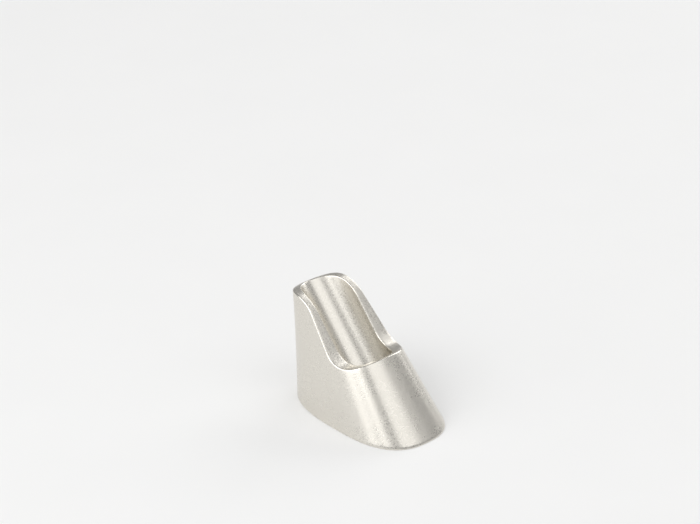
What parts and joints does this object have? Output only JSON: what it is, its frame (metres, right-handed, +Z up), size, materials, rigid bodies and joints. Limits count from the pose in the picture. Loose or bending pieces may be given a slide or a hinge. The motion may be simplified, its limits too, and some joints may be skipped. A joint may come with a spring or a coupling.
{
  "type": "pen rest",
  "caption": "Desk pen rest: a tapered metal block with a sloping nose, a swept rim and an inclined round pocket, standing on a thin rubber pad.",
  "frame": {"origin": "on the table, in the middle of the rest's overall width and length", "axes": "+Z up from the table; -Y towards the low sloping nose, +Y towards the tall upright heel; +X to the right as seen from the nose"},
  "size_m": [0.0336, 0.0586, 0.0381],
  "materials": {
    "satin_steel": "satin bead-blasted stainless steel with a fine even grain and a soft sheen",
    "pad_rubber": "matt black soft rubber sheet with a fine grain",
    "adhesive_film": "thin translucent double-sided film with a soft sheen"
  },
  "bodies": {
    "root": {"rest_body": "satin_steel", "base_pad": "pad_rubber", "pad_adhesive": "adhesive_film"}
  },
  "joints": []
}
